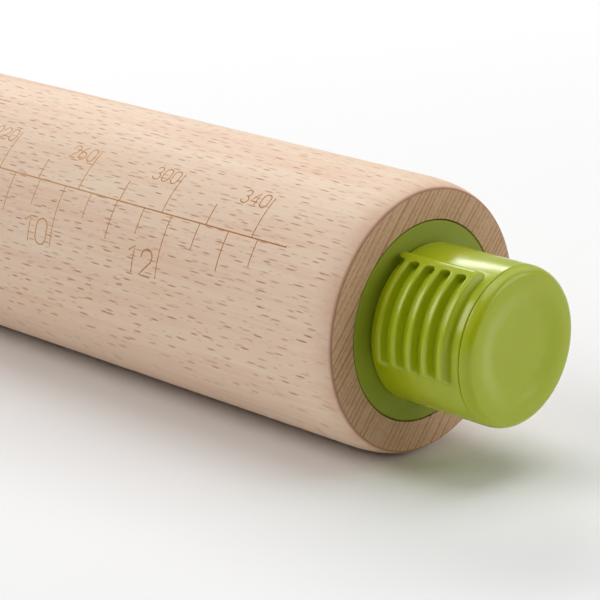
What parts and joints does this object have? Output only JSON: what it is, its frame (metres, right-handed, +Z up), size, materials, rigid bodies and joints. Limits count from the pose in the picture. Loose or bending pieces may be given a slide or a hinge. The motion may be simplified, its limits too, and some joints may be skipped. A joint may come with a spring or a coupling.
{
  "type": "adjustable rolling pin",
  "caption": "Rolling pin: free-turning wooden barrel with an engraved rule, and ribbed stub knobs that screw out along the end hubs to make room for spacing rings.",
  "frame": {"origin": "on the surface the pin lies on, under the middle of the barrel", "axes": "+X along the pin towards the end with the rule's high numbers, +Z up, +Y away from the rule's side"},
  "size_m": [0.477, 0.086, 0.086],
  "materials": {
    "beech": "sanded, unvarnished",
    "knob_plastic": "satin",
    "hub_plastic": "matt",
    "acetal": "smooth",
    "steel": "bright"
  },
  "bodies": {
    "barrel": {"barrel": "beech", "bearing_sleeve_right": "acetal", "bearing_sleeve_left": "acetal"},
    "spindle": {"spindle_rod": "steel", "thrust_washer_right": "acetal", "thrust_washer_left": "acetal", "end_hub_right": "hub_plastic", "end_hub_left": "hub_plastic", "drive_pin_right": "steel", "drive_pin_left": "steel", "rod_washer_right": "steel", "rod_washer_left": "steel", "rod_nut_right": "steel", "rod_nut_left": "steel"},
    "washer_right": {"keyed_washer_right": "steel"},
    "washer_left": {"keyed_washer_left": "steel"},
    "knob_right": {"knob_shell_right": "knob_plastic", "knob_cap_right": "knob_plastic"},
    "knob_left": {"knob_shell_left": "knob_plastic", "knob_cap_left": "knob_plastic"}
  },
  "joints": [
    {"name": "spindle_spin", "type": "hinge", "parent": "barrel", "child": "spindle", "pos_m": [0, 0, 0.043], "axis": [1, 0, 0], "continuous": true},
    {"name": "knob_right_turn", "type": "hinge", "parent": "washer_right", "child": "knob_right", "pos_m": [0.2, 0, 0.043], "axis": [1, 0, 0], "range_deg": [0, 720]},
    {"name": "knob_right_travel", "type": "slide", "parent": "spindle", "child": "washer_right", "axis": [1, 0, 0], "range_m": [0, 0.008]},
    {"name": "knob_left_turn", "type": "hinge", "parent": "washer_left", "child": "knob_left", "pos_m": [-0.2, 0, 0.043], "axis": [-1, 0, 0], "range_deg": [0, 720]},
    {"name": "knob_left_travel", "type": "slide", "parent": "spindle", "child": "washer_left", "axis": [-1, 0, 0], "range_m": [0, 0.008]}
  ],
  "couplings": [
    {"joint": "knob_right_travel", "follows": "knob_right_turn", "m_per_rad": 0.00063661},
    {"joint": "knob_left_travel", "follows": "knob_left_turn", "m_per_rad": 0.00063661}
  ]
}
